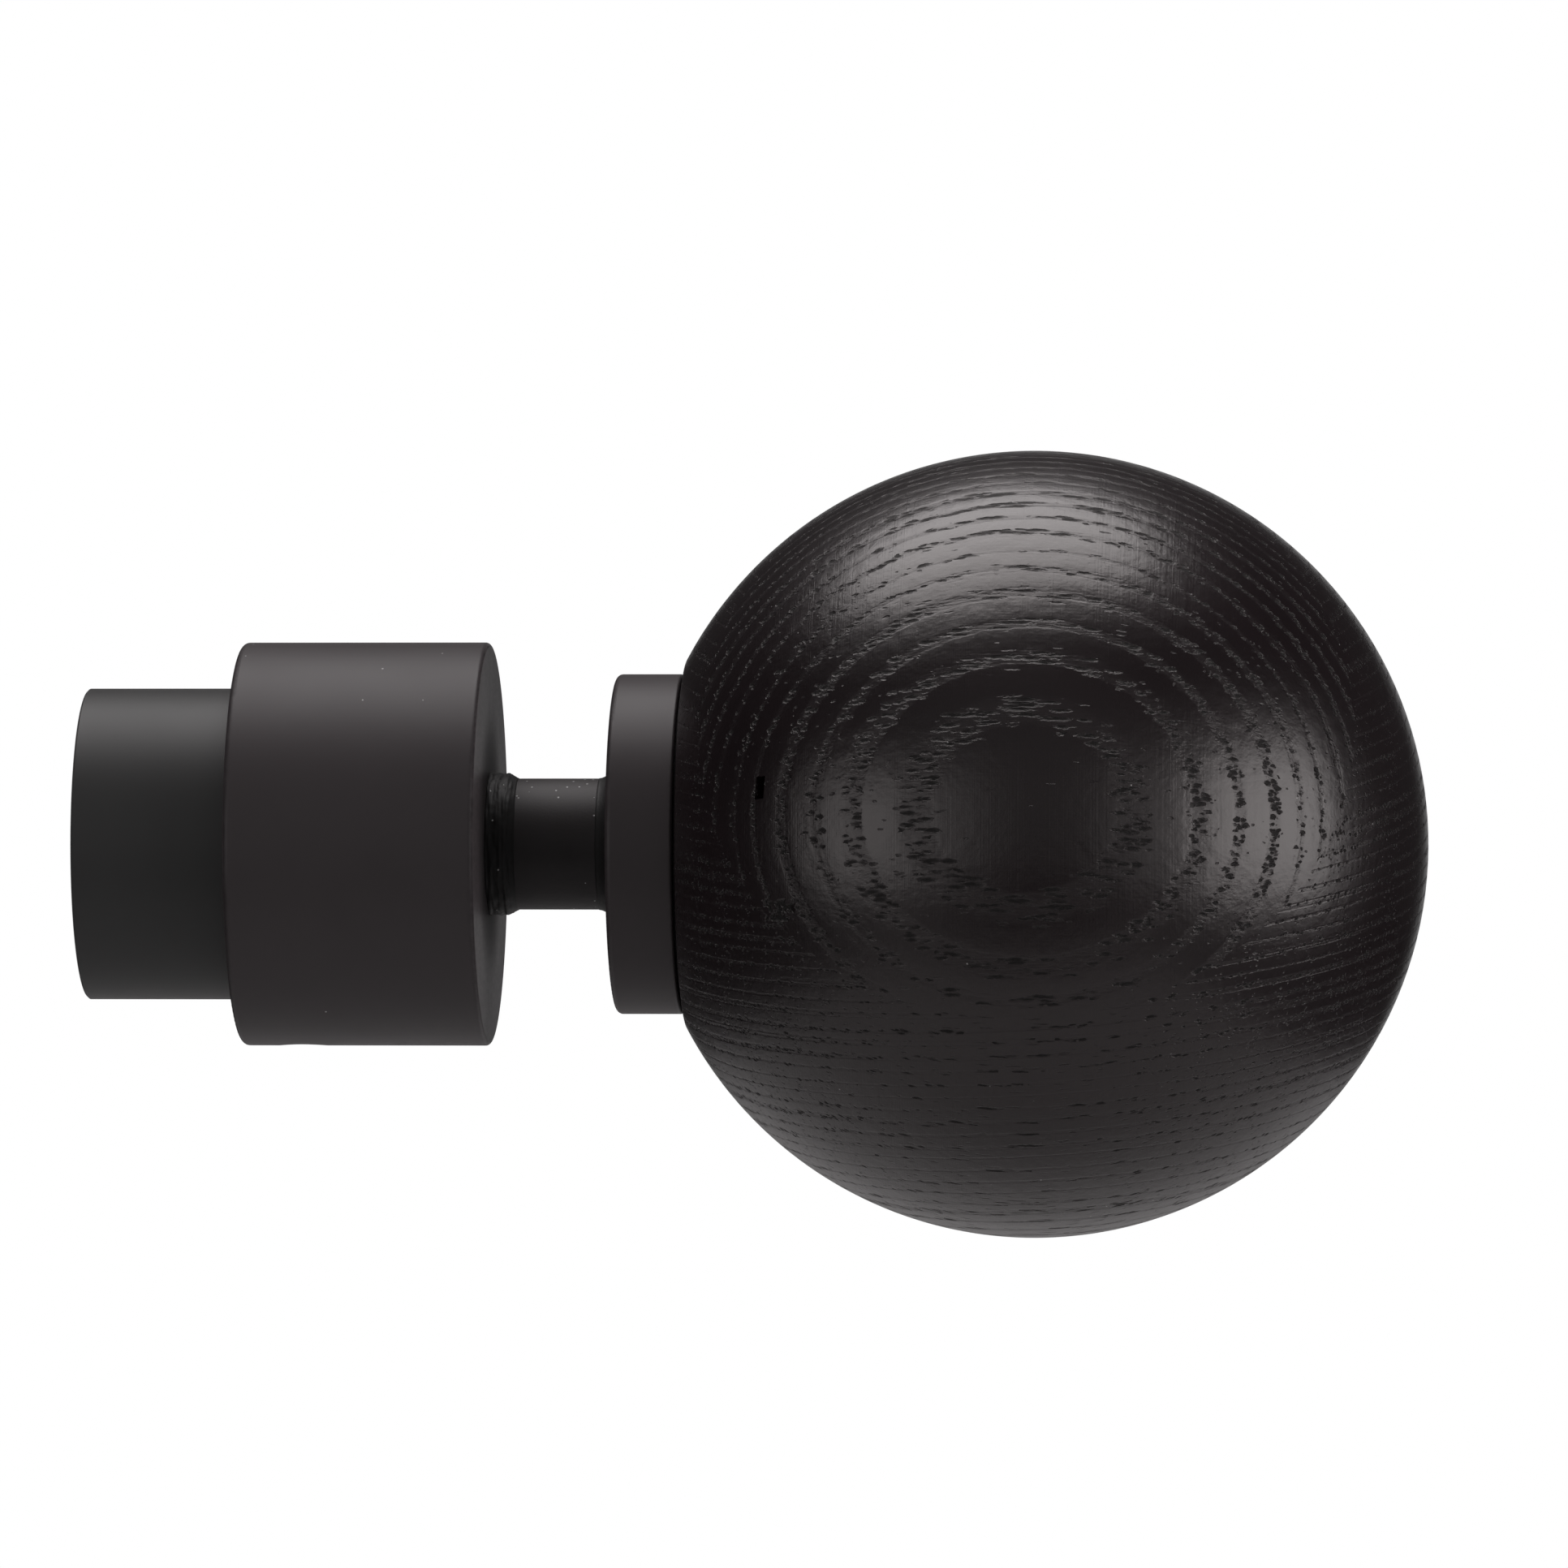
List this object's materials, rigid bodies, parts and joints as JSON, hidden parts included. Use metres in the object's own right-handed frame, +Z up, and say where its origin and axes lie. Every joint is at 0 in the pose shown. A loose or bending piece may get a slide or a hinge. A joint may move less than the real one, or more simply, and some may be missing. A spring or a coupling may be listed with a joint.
{
  "type": "curtain rod end with ball finial",
  "caption": "End of a black metal curtain rod with a slip-over collar, welded neck and disc, and a black-stained wooden ball finial held by a hidden machine screw.",
  "frame": {"origin": "on the rod's axis, in the plane of the rod tube's cut end", "axes": "+X along the rod from the cut end to the ball, +Z up, -Y towards the room; the set screw is underneath, towards -Z"},
  "size_m": [0.1093, 0.064, 0.064],
  "materials": {
    "rod_paint": "matte black powder coat, slightly cool",
    "finial_paint": "matte black powder coat, slightly warm",
    "black_stained_ash": "satin lacquer over black stain, open pores",
    "black_fibre": "pressed black fibre",
    "insert_brass": "machined brass",
    "zinc_plated_steel": "bright zinc plate",
    "black_oxide_steel": "black oxide",
    "white_nylon": "natural nylon"
  },
  "bodies": {
    "rod": {"rod_tube": "rod_paint"},
    "washer": {"flat_washer": "zinc_plated_steel"},
    "finial": {"collar": "finial_paint", "neck": "finial_paint", "collar_weld": "finial_paint", "disc_weld": "finial_paint", "seat_disc": "finial_paint", "fibre_washer": "black_fibre"},
    "ball_screw": {"ball_screw": "zinc_plated_steel", "spring_washer": "zinc_plated_steel"},
    "ball": {"ball_front_board": "black_stained_ash", "ball_rear_board": "black_stained_ash", "ball_insert": "insert_brass"},
    "set_screw_tip": {"set_screw_tip": "white_nylon"},
    "set_screw": {"set_screw": "black_oxide_steel"}
  },
  "joints": [
    {"name": "finial_pull", "type": "slide", "parent": "rod", "child": "washer", "axis": [1, 0, 0], "range_m": [0, 0.012]},
    {"name": "finial_twist", "type": "hinge", "parent": "washer", "child": "finial", "pos_m": [0.0289, 0, 0], "axis": [1, 0, 0], "continuous": true},
    {"name": "ball_draw_off", "type": "slide", "parent": "finial", "child": "ball", "axis": [1, 0, 0], "range_m": [0, 0.013]},
    {"name": "ball_screw_turn", "type": "hinge", "parent": "finial", "child": "ball_screw", "pos_m": [0.0268, 0, 0], "axis": [-1, 0, 0], "range_deg": [0, 4681]},
    {"name": "set_screw_travel", "type": "slide", "parent": "finial", "child": "set_screw_tip", "axis": [0, 0, -1], "range_m": [0, 0.0021]},
    {"name": "set_screw_turn", "type": "hinge", "parent": "set_screw_tip", "child": "set_screw", "pos_m": [0.0177, 0, -0.0148], "axis": [0, 0, -1], "range_deg": [0, 1081]}
  ],
  "couplings": [
    {"joint": "ball_screw_turn", "follows": "ball_draw_off", "rad_per_m": 6283.2},
    {"joint": "set_screw_turn", "follows": "set_screw_travel", "rad_per_m": 8976}
  ]
}
